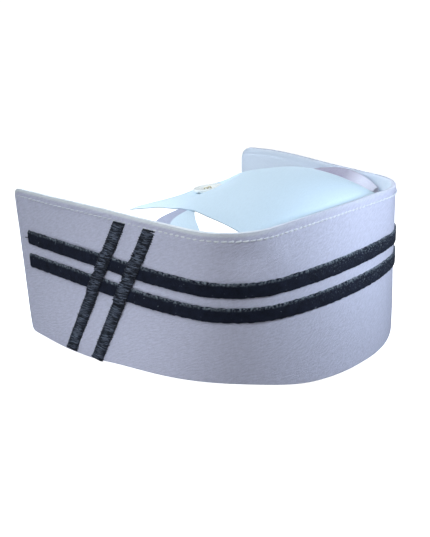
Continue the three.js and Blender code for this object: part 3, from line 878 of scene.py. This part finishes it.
def thread_material(name, twist):
    """Twisted thread, each with its own tone between a dark and a light colour."""
    dark, light, roughness, fineness, sheen = THREADS[name]
    made, nodes, links, shader = material(name)
    tree = made.node_tree
    place = nodes.new("ShaderNodeTexCoord").outputs["Object"]
    own = nodes.new("ShaderNodeAttribute")
    own.attribute_name = "tone"
    wound = group_node(tree, twist, Place=place, Fineness=fineness)
    shine = range_node(tree, wound["Light"], 0.25, 0.8, 0.5, 1.0)
    factor = math_node(tree, "MULTIPLY", shine, own.outputs["Fac"])
    links.new(mixed_colour(tree, factor, dark, light), shader.inputs["Base Color"])
    rough = range_node(tree, wound["Light"], 0.2, 0.8, roughness + 0.1, roughness - 0.1)
    links.new(rough, shader.inputs["Roughness"])
    links.new(bump_node(tree, wound["Height"], 0.5, 0.00012), shader.inputs["Normal"])
    shader.inputs["Specular IOR Level"].default_value = 0.3
    shader.inputs["Sheen Weight"].default_value = sheen
    return made


def button_material():
    """Milky moulded plastic with a faint pearly cloud and fine handling marks."""
    made, nodes, links, shader = material("milk_button")
    tree = made.node_tree
    place = nodes.new("ShaderNodeTexCoord").outputs["Object"]
    cloud = noise_node(tree, place, 380.0, 3.0, 0.55)
    marks = noise_node(tree, stretch_node(tree, place, (900.0, 160.0, 400.0)), 1.0, 3.0, 0.7)
    links.new(mixed_colour(tree, cloud, BUTTON_SHADE, BUTTON_LIGHT), shader.inputs["Base Color"])
    links.new(range_node(tree, marks, 0.3, 0.7, 0.22, 0.40), shader.inputs["Roughness"])
    links.new(bump_node(tree, marks, 0.08, 0.0002), shader.inputs["Normal"])
    shader.inputs["Coat Weight"].default_value = 0.2
    shader.inputs["Coat Roughness"].default_value = 0.2
    return made


def floor_material():
    """Pale studio floor: bright to the camera, and quiet in the light that it throws back."""
    made, nodes, links, shader = material("pale_floor")
    shader.inputs["Base Color"].default_value = (0.93, 0.93, 0.93, 1.0)
    shader.inputs["Roughness"].default_value = 0.9
    shader.inputs["Specular IOR Level"].default_value = 0.1
    shader.inputs["Emission Color"].default_value = (1.0, 1.0, 1.0, 1.0)
    shader.inputs["Emission Strength"].default_value = FLOOR_GLOW
    quiet = nodes.new("ShaderNodeBsdfDiffuse")
    quiet.inputs["Color"].default_value = (0.35, 0.35, 0.36, 1.0)
    seen = nodes.new("ShaderNodeLightPath")
    either = nodes.new("ShaderNodeMixShader")
    links.new(seen.outputs["Is Camera Ray"], either.inputs["Fac"])
    links.new(quiet.outputs["BSDF"], either.inputs[1])
    links.new(shader.outputs["BSDF"], either.inputs[2])
    links.new(either.outputs["Shader"], nodes["Material Output"].inputs["Surface"])
    return made


# Pieces.
def cuff_stations():
    """Stations across the cut, crowded together at the rounded wing ends."""
    u = np.linspace(-1.0, 1.0, CUFF_COLUMNS + 1)
    end = CUFF_END_SHARE
    part = np.clip((np.abs(u) - (1.0 - end)) / end, 0.0, 1.0)
    eased = end * (2.0 * part - part ** 2) * 0.5 + end * 0.5 * part
    graded = np.where(part > 0, 1.0 - end + eased, np.abs(u))
    return np.sign(u) * graded


def cuff_heights():
    """Shares of the height, crowded together at the stitched upper edge."""
    v = np.linspace(0.0, 1.0, CUFF_ROWS + 1)
    return np.interp(v, [0.0, 0.05, 0.46, 1.0], [0.0, 0.03, 0.84, 1.0])


def seam_height(station):
    return cuff_limits(station)[1] - STITCH_INSET


def unevenness(length, z, wave):
    return soft_noise(length / wave["along"], z / wave["up"], wave["seed"]) * wave["depth"]


def dents(length, z):
    """Depth of the shallow dents in the stiff cloth."""
    depth = 0.0
    for along, high, wide, tall, deep in CUFF_DENTS:
        depth = depth + deep * np.exp(-((length - along) / wide) ** 2 - ((z - high) / tall) ** 2)
    return depth


def mark_inside(piece):
    """How far each point of a ring-like piece faces its own middle."""
    facing = []
    for vertex in piece.data.vertices:
        inward = Vector((-vertex.co.x, -vertex.co.y, 0.0)).normalized()
        facing.append(min(1.0, max(0.0, 2.0 * vertex.normal.dot(inward))))
    piece.data.attributes.new("inside", "FLOAT", "POINT").data.foreach_set("value", facing)


def make_cuff():
    """Doubled cloth with a folded upper edge, pinched where it is stitched."""
    station, part = np.meshgrid(cuff_stations(), cuff_heights())
    foot, top = cuff_limits(station)
    foot = foot + CUFF_FOOT_LIFT
    z = share(foot, top, part)
    length = station * edge_length(UPPER_EDGE)
    sway = unevenness(length, z, CUFF_SWAY) + unevenness(length, z, CUFF_RIPPLE)
    free = smooth_step((z - foot) / CUFF_FREE_FROM_FOOT)
    grid = cuff_place(station, z, -CUFF_THICKNESS / 2 + sway * free - dents(length, z))
    along = np.cos(2.0 * math.pi * length / STITCH_PITCH)
    across = (z - (top - STITCH_INSET)) / STITCH_PINCH_WIDTH
    pinch = 1.0 - STITCH_PINCH * np.exp(-across ** 2) * (0.7 - 0.3 * along)
    piece = cloth_sheet("cuff_cloth", grid, CUFF_CUT, cuff_heights())
    thicken(piece, CUFF_THICKNESS, CUFF_ROUNDING, 4, pinch.ravel())
    # Marks the inner faces for their painted light.
    mark_inside(piece)
    return piece


def stitch_path(middle, step, tilt, offset_of):
    """Five points of one stitch that dives into the cloth at both ends."""
    points = []
    for part in (-0.5, -0.32, 0.0, 0.32, 0.5):
        rise = STITCH_RADIUS * (0.9 - 6.0 * part ** 4 - 3.6 * part ** 2)
        points.append(offset_of(middle + part * step, part * tilt, rise - STITCH_SINK))
    return points


def on_upper_edge(station, climb, rise):
    station = np.array(station)
    return cuff_place(station, seam_height(station) + climb, rise)


def on_wing_end(side):
    def place(z, climb, rise):
        station = side * (1.0 - (WING_STITCH_INSET + climb) / edge_length(UPPER_EDGE))
        return cuff_place(np.array(station), np.array(z), rise)
    return place


def edge_stitches(reach):
    """Uneven stitches along the upper edge: their paths, radii and tones."""
    stitches = []
    length = edge_length(UPPER_EDGE)
    spread = np.random.default_rng(STITCH_SEED)
    count = int(2.0 * reach * length / STITCH_PITCH)
    for k in range(count):
        station = -reach + (k + 0.5) * 2.0 * reach / count
        step = STITCH_LENGTH * spread.uniform(0.88, 1.12) / length
        path = stitch_path(station, step, STITCH_TILT * spread.uniform(0.2, 1.8), on_upper_edge)
        # Thinner and darker stitches on the right wing.
        amount = STITCH_THIN_DARK if station < STITCH_THIN_DARK_FROM else 1.0
        radius = STITCH_RADIUS * amount * spread.uniform(0.85, 1.1)
        stitches.append((path, radius, amount * spread.uniform(0.8, 1.0)))
    return stitches


def wing_stitches(side, reach):
    """Fine stitches down a wing end: their paths, radii and tones."""
    stitches = []
    run = float(seam_height(np.array(side * reach))) - WING_STITCH_FOOT
    count = int(run / STITCH_PITCH)
    for k in range(count):
        z = WING_STITCH_FOOT + (k + 0.5) * run / count
        path = stitch_path(z, STITCH_LENGTH, STITCH_TILT, on_wing_end(side))
        stitches.append((path, WING_STITCH_RADIUS, WING_STITCH_TONE))
    return stitches


def make_topstitch():
    """White stitches along the upper edge and down both wing ends, on the outer face."""
    reach = 1.0 - STITCH_END / edge_length(UPPER_EDGE)
    stitches = edge_stitches(reach) + wing_stitches(-1.0, reach) + wing_stitches(1.0, reach)
    paths, radii, tones = zip(*stitches)
    return thread_mesh("topstitch", paths, radii, tones, STITCH_SIDES)


def make_tongue():
    """One sheet that rises inside the front of the cuff, arches over and narrows to the tail."""
    inside = -(CUFF_THICKNESS + CLEARANCE + TONGUE_THICKNESS / 2)
    a = np.linspace(-1.0, 1.0, TONGUE_COLUMNS + 1)
    rows = []
    for height, inset in TONGUE_RISER:
        row = on_cuff(a * TONGUE_STATION, height * CUFF_HEIGHT, inside - inset)
        row[:, 1] += HALF_DEPTH
        rows.append(row)
    for y, crest, edge, half, shift, power in TONGUE_SECTIONS:
        fall = np.abs(a - shift) / (1.0 - np.sign(a - shift) * shift)
        rows.append(np.stack([a * half, np.full_like(a, y), share(crest, edge, fall ** power)], axis=-1))
    grid = through(np.stack(rows), TONGUE_STEPS)
    from_hollow = np.hypot(grid[..., 0] - HOLLOW["x"], grid[..., 1] - HOLLOW["y"]) / HOLLOW["radius"]
    crown_rows = (np.arange(len(grid)) >= len(TONGUE_RISER) * TONGUE_STEPS)[:, None]
    grid[..., 2] -= HOLLOW["depth"] * np.exp(-from_hollow ** 2) * crown_rows
    grid = drawn_down(grid, 0.0)
    grid[..., 1] -= HALF_DEPTH
    half = np.abs(grid[:, -1:, 0] - grid[:, :1, 0]) / 2
    side_gap = (1.0 - np.abs(a)) * half
    tail_gap = grid[-1:, :, 1] - grid[..., 1]
    wall = thin_edge(np.minimum(side_gap, tail_gap))
    grid[..., 2] -= (1.0 - wall) * EDGE_DROP * crown_rows
    piece = cloth_sheet("tongue_cloth", grid, TONGUE_CUT)
    return thicken(piece, TONGUE_THICKNESS, CROWN_ROUNDING, 2, wall.ravel())


def make_flap(name, rows, side, depth, cut, crease=None):
    """Flap from inside the cuff over its fold and in under the tongue, with a pressed crease or none."""
    inside = -(CUFF_THICKNESS + CLEARANCE + FLAP_THICKNESS / 2)
    controls = []
    for station, ridge, panel, reach, end_y in rows:
        points = []
        for part, inset in FLAP_LEG:
            point = on_cuff(np.array(side * station), np.array(part * ridge[2]), np.array(inside - inset))
            points.append(point + np.array([0.0, HALF_DEPTH, 0.0]))
        end = np.array([-side * reach, end_y, seat_height(-side * reach, end_y, depth)])
        start = np.array([side * panel[0], panel[1], panel[2]])
        points.append(np.array([side * ridge[0], ridge[1], ridge[2]]))
        points.extend([start, (start + end) / 2, end])
        controls.append(through(np.stack(points), FLAP_STEPS))
    grid = drawn_down(creased(np.stack(controls), FLAP_ROW_STEPS, crease), depth)
    grid[..., 1] -= HALF_DEPTH
    front_gap = np.linalg.norm(grid - grid[:1], axis=-1)
    back_gap = np.linalg.norm(grid - grid[-1:], axis=-1)
    piece = cloth_sheet(name, grid, (cut[1], cut[0]))
    wall = thin_edge(np.minimum(front_gap, back_gap))
    return thicken(piece, FLAP_THICKNESS, CROWN_ROUNDING, 2, wall.ravel())


def make_ribbon(name, middle, seed):
    """Velvet ribbon with a slightly ragged edge and an uneven pile."""
    u = np.linspace(-1.0, 1.0, RIBBON_COLUMNS + 1)
    v = np.linspace(-1.0, 1.0, RIBBON_ROWS + 1)
    station, across = np.meshgrid(u, v)
    station = station * (RIBBON["end"] - RIBBON["corner"] / edge_length(UPPER_EDGE) * across ** 6)
    length = station * edge_length(UPPER_EDGE)
    ragged = soft_noise(length / RAGGED["grain"], across, seed) * RAGGED["depth"] * across ** 2
    z = ribbon_height(middle, station) + across * RIBBON["width"] / 2 + ragged
    crown = RIBBON_CROWN * (1.0 - across ** 4)
    grid = on_cuff(station, z, RIBBON_GAP + RIBBON["thickness"] / 2 + crown)
    piece = cloth_sheet(name, grid, (RIBBON_LENGTH, RIBBON["width"]))
    thicken(piece, RIBBON["thickness"], RIBBON_ROUNDING, 3)
    roughen(piece, PILE_DEPTH, PILE_GRAIN)
    return piece


def slant_climb(stripe, z):
    """Height of a slanted stripe off the cuff where it goes over the ribbons."""
    top, foot = stripe
    climb = RIBBON["thickness"] + RIBBON_GAP + PILE_DEPTH
    total = np.zeros_like(z)
    for middle in (RIBBON_LOWER_HEIGHT, RIBBON_UPPER_HEIGHT):
        station = share(foot, top, (middle - SLANT["foot"]) / (SLANT["top"] - SLANT["foot"]))
        gap = np.abs(z - ribbon_height(middle, np.array(station)))
        reach = RIBBON["width"] / 2 + SLANT["margin"]
        total = np.maximum(total, climb * smooth_step((reach + SLANT["ramp"] - gap) / SLANT["ramp"]))
    return total


def slant_place(stripe, z, across, out):
    top, foot = stripe
    part = (z - SLANT["foot"]) / (SLANT["top"] - SLANT["foot"])
    station = -(share(foot, top, part) + across / edge_length(LOWER_EDGE))
    return on_cuff(station, z, RIBBON_GAP + slant_climb(stripe, z) + out)


def satin_courses(stripe, spread):
    """Dark threads laid side by side across a stripe, their ends not quite in line."""
    paths = []
    tones = []
    count = int((SLANT["top"] - SLANT["foot"]) / SATIN["pitch"])
    t = np.linspace(0.0, 1.0, 7)
    for k in range(count):
        left = -SLANT["width"] / 2 + spread.uniform(-1.0, 1.0) * SATIN["stray"]
        right = SLANT["width"] / 2 + spread.uniform(-1.0, 1.0) * SATIN["stray"]
        low = SLANT["foot"] + (k + 0.5) * SATIN["pitch"]
        height = np.clip(low + SATIN["rake"] * (t - 0.5), SLANT["foot"], SLANT["top"])
        out = SATIN_LIFT + SATIN["bulge"] * (1.0 - (2.0 * t - 1.0) ** 4)
        paths.append(slant_place(stripe, height, share(left, right, t), out))
        tones.append(spread.uniform(*SATIN_TONE))
    return paths, tones


def satin_strokes(stripe, spread):
    """Strands that show here and there on top, a little aslant, lighter with a painted glint."""
    paths = []
    radii = []
    tones = []
    t = np.linspace(-0.5, 0.5, 5)
    for _ in range(SATIN_STROKES):
        length = spread.uniform(*STROKE_LENGTH)
        rake = spread.uniform(*STROKE_RAKE)
        run = length / math.hypot(1.0, rake)
        middle = spread.uniform(-0.5, 0.5) * (SLANT["width"] - run)
        low = spread.uniform(SLANT["foot"] + STROKE_MARGIN, SLANT["top"] - STROKE_MARGIN)
        height = np.clip(low + rake * run * t, SLANT["foot"], SLANT["top"])
        across = middle + run * t
        crest = SATIN["bulge"] * (1.0 - (2.0 * across / SLANT["width"]) ** 4)
        out = STROKE_LIFT + crest - STROKE_DIVE * t ** 2
        paths.append(slant_place(stripe, height, across, out))
        radii.append(spread.uniform(*STROKE_RADIUS))
        tones.append(spread.uniform(*STROKE_GLINT_TONE))
    return paths, radii, tones


def make_slant(name, stripe, seed):
    """Embroidered stripe: a thin ground, dark threads across it and strands on top, lighter with a painted
    glint.
    """
    spread = np.random.default_rng(seed)
    rows, columns = SATIN_GROUND_GRID
    v = np.linspace(-SATIN_GROUND["share"], SATIN_GROUND["share"], rows) * SLANT["width"]
    z, across = np.meshgrid(np.linspace(SLANT["foot"], SLANT["top"], columns), v)
    grid = slant_place(stripe, z, across, SATIN_GROUND["lift"])
    ground = cloth_sheet(name, grid, (SATIN_GROUND["length"], SLANT["width"]))
    thicken(ground, SATIN_GROUND["thickness"], SATIN_GROUND["rounding"], 2)
    courses, course_tones = satin_courses(stripe, spread)
    strokes, stroke_radii, stroke_tones = satin_strokes(stripe, spread)
    radii = [SATIN["radius"]] * len(courses) + stroke_radii
    tones = course_tones + stroke_tones
    threads = thread_mesh(name + "_threads", courses + strokes, radii, tones, SATIN_SIDES)
    return join(ground, [threads])


def button_frame():
    """Matrix from the button's own axes to its seat on the tongue."""
    normal = seat_normal()
    gap = TONGUE_THICKNESS / 2 + CLEARANCE
    seat = Vector((SEAT["x"], SEAT["y"] - HALF_DEPTH, SEAT["z"])) + normal * gap
    turn = Vector((0.0, 0.0, 1.0)).rotation_difference(normal)
    return Matrix.Translation(seat) @ turn.to_matrix().to_4x4()


def hole_places():
    offset = BUTTON_HOLE["offset"]
    return [(x, y) for x in (-offset, offset) for y in (-offset, offset)]


def add_cylinder(name, sides, radius, depth, place):
    bpy.ops.mesh.primitive_cylinder_add(vertices=sides, radius=radius, depth=depth, location=place)
    return named(name)


def turned_disc(height, middle):
    """Disc with a raised rim, a dished middle and a narrower foot."""
    deselect()
    piece = add_cylinder("button_disc", BUTTON_SIDES, BUTTON["radius"], height, (0, 0, middle))
    take(piece)
    bpy.ops.object.transform_apply(location=True, rotation=True, scale=True)
    pick_faces(piece, lambda face: face.normal.z > 0.9)
    bpy.ops.mesh.inset(thickness=BUTTON["rim_width"])
    bpy.ops.mesh.inset(thickness=BUTTON_DISH["width"], depth=-BUTTON_DISH["depth"])
    pick_faces(piece, lambda face: face.normal.z < -0.9)
    bpy.ops.mesh.inset(thickness=BUTTON_FOOT["width"], depth=BUTTON_FOOT["depth"])
    return piece


def hole_drill(middle):
    """Four rods, as one piece, where the holes go."""
    deselect()
    hole = BUTTON_HOLE
    rods = []
    for x, y in hole_places():
        rods.append(add_cylinder("hole", hole["sides"], hole["radius"], hole["depth"], (x, y, middle)))
    return join(rods[0], rods[1:])


def make_button():
    """Turned disc with four holes and softened edges, laid on its seat."""
    height = BUTTON["rim_top"] - BUTTON["rim_foot"]
    middle = (BUTTON["rim_top"] + BUTTON["rim_foot"]) / 2
    piece = turned_disc(height, middle)
    drill = hole_drill(middle)
    holes = piece.modifiers.new("holes", "BOOLEAN")
    holes.operation = "DIFFERENCE"
    holes.solver = "EXACT"
    holes.object = drill
    edges = piece.modifiers.new("edges", "BEVEL")
    edges.limit_method = "ANGLE"
    edges.angle_limit = math.radians(25)
    edges.width = BUTTON_ROUNDING
    edges.segments = 3
    apply_modifiers(piece)
    bpy.data.objects.remove(drill, do_unlink=True)
    take(piece)
    bpy.ops.object.shade_smooth_by_angle(angle=math.radians(40))
    piece.data.transform(button_frame())
    return piece


def make_button_thread():
    """Two bars of cream thread, three strands each, between the holes."""
    turn = button_frame()
    offset = BUTTON_HOLE["offset"]
    paths = []
    for x in (-offset, offset):
        for strand in (-1, 0, 1):
            beside = x + strand * BUTTON_STRAND["gap"]
            crown = BUTTON_STRAND["crown"] * (1 - abs(strand))
            path = [turn @ Vector((beside, part * offset, z + crown)) for part, z in BUTTON_BAR]
            paths.append([tuple(point) for point in path])
    return even_threads("button_thread", paths, BUTTON_STRAND["radius"], BUTTON_STRAND["tone"])


def make_stray_thread():
    """Short dark thread end beside the upper ribbon on the right wing."""
    t = np.linspace(0.0, 1.0, 7)
    station = -(RIBBON["end"] + share(*STRAY_REACH, t))
    z = ribbon_height(RIBBON_UPPER_HEIGHT, station) - STRAY["drop"] + STRAY["rise"] * t
    path = on_cuff(station, z, STRAY["lift"] + STRAY["bow"] * np.sin(math.pi * t))
    return even_threads("stray_thread", [path], STRAY["radius"], STRAY["tone"])


def make_floor():
    """Plain floor under the cap, which isn't part of it."""
    deselect()
    bpy.ops.mesh.primitive_plane_add(size=FLOOR_SIZE, location=(0, 0, 0))
    floor = named("floor")
    floor.data.materials.append(floor_material())


def area_light(name, place, aim, size, power, colour, spread=math.pi):
    """Round soft lamp, turned from its place to its aim."""
    data = bpy.data.lights.new(name, "AREA")
    data.shape = "DISK"
    data.size = size
    data.energy = power
    data.spread = spread
    data.color = colour
    lamp = bpy.data.objects.new(name, data)
    lamp.location = place
    lamp.rotation_euler = (Vector(aim) - Vector(place)).to_track_quat("-Z", "Y").to_euler()
    bpy.context.collection.objects.link(lamp)


def make_world():
    """White backdrop for the camera, with only a little light of its own."""
    world = bpy.data.worlds.new("white_room")
    world.use_nodes = True
    nodes = world.node_tree.nodes
    links = world.node_tree.links
    dim = nodes["Background"]
    dim.inputs["Color"].default_value = (0.93, 0.95, 1.0, 1.0)
    dim.inputs["Strength"].default_value = ROOM_GLOW
    white = nodes.new("ShaderNodeBackground")
    white.inputs["Color"].default_value = (1.0, 1.0, 1.0, 1.0)
    white.inputs["Strength"].default_value = 1.0
    seen = nodes.new("ShaderNodeLightPath")
    either = nodes.new("ShaderNodeMixShader")
    links.new(seen.outputs["Is Camera Ray"], either.inputs["Fac"])
    links.new(dim.outputs["Background"], either.inputs[1])
    links.new(white.outputs["Background"], either.inputs[2])
    links.new(either.outputs["Shader"], nodes["World Output"].inputs["Surface"])
    bpy.context.scene.world = world


def make_light():
    """Soft studio lamps close to the cap."""
    for lamp in LAMPS:
        area_light(*lamp)
    make_world()
    bpy.context.scene.view_settings.view_transform = "Standard"


def make_camera():
    """Camera at the picture's angle."""
    data = bpy.data.cameras.new("camera")
    data.lens = CAMERA_LENS
    camera = bpy.data.objects.new("camera", data)
    camera.location = CAMERA_PLACE
    camera.rotation_euler = CAMERA_TURN
    bpy.context.collection.objects.link(camera)
    bpy.context.scene.camera = camera


def dress(piece, finish, node=None):
    """Gives a piece its one material and its place on the body."""
    piece.data.materials.clear()
    piece.data.materials.append(finish)
    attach(piece, "root")
    if node:
        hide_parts(node)
    return piece


def cottons():
    """The four finishes of one white cloth, tinted for its light and shade: cuff, crown, right flap and left
    flap.
    """
    weave = plain_weave_group()
    # Painted highlight along the cuff's folded upper edge.
    fold = (CUFF_CUT[1] - FOLD_HIGHLIGHT_START, CUFF_CUT[1] - FOLD_HIGHLIGHT_FULL, FOLD_HIGHLIGHT_COLOUR, *FOLD_HIGHLIGHT_FADE)
    # Painted shade along the back of the right flap, and on the left flap.
    right_shade = (RIGHT_FLAP_SHADE_AT - RIGHT_FLAP_SHADE_BLEND, RIGHT_FLAP_SHADE_AT + RIGHT_FLAP_SHADE_BLEND, RIGHT_FLAP_SHADE_COLOUR)
    left_shade = (LEFT_FLAP_SHADE_FROM, LEFT_FLAP_SHADE_FULL, LEFT_FLAP_SHADE_COLOUR)
    inside = (LIT_INSIDE_SHADE, LIT_INSIDE_LIGHT)
    cuff = cloth_material("cuff_cotton", weave, CUFF_SHADE, CUFF_LIGHT, fold, inside, CUFF_RELIEF)
    crown = cloth_material("crown_cotton", weave, CROWN_SHADE, CROWN_LIGHT)
    shaded_back = cloth_material("crown_cotton_shaded_back", weave, CROWN_SHADE, CROWN_LIGHT, right_shade)
    flap = cloth_material("flap_cotton", weave, FLAP_SHADE, FLAP_LIGHT, left_shade)
    return cuff, crown, shaded_back, flap


def make_right_flap():
    cut = FLAP_RIGHT_CUT
    return make_flap("flap_cloth_right", FLAP_RIGHT, -1.0, FLAP_RIGHT_DEPTH, cut, FLAP_RIGHT_CREASE)


def make_left_flap():
    return make_flap("flap_cloth_left", FLAP_LEFT, 1.0, FLAP_LEFT_DEPTH, FLAP_LEFT_CUT)


def make_trims(velvet, satin, white_thread):
    """What is sewn on the cuff: ribbons, embroidered stripes, topstitching and a thread end."""
    return [
        dress(make_ribbon("velvet_upper", RIBBON_UPPER_HEIGHT, 3.0), velvet, "stripe_upper"),
        dress(make_ribbon("velvet_lower", RIBBON_LOWER_HEIGHT, 4.0), velvet, "stripe_lower"),
        dress(make_slant("satin_back", SLANT_BACK, 11), satin, "slant_stripe_back"),
        dress(make_slant("satin_front", SLANT_FRONT, 12), satin, "slant_stripe_front"),
        dress(make_topstitch(), white_thread),
        dress(make_stray_thread(), satin),
    ]


def make_cap():
    """Every piece of the cap in its finish, and the cut of each sheet of cloth."""
    cuff_cotton, crown_cotton, crown_cotton_shaded_back, flap_cotton = cottons()
    twist = twisted_thread_group()
    satin = thread_material("navy_satin", twist)
    white_thread = thread_material("white_thread", twist)
    cream_thread = thread_material("cream_thread", twist)

    cuff = dress(make_cuff(), cuff_cotton, "cuff_band")
    tongue = dress(make_tongue(), crown_cotton, "crown_tongue")
    right = dress(make_right_flap(), crown_cotton_shaded_back, "side_flap_right")
    left = dress(make_left_flap(), flap_cotton, "side_flap_left")
    trims = make_trims(velvet_material(), satin, white_thread)
    dress(make_button(), button_material(), "button")
    dress(make_button_thread(), cream_thread)


deselect()
make_camera()
make_cap()
make_floor()
make_light()
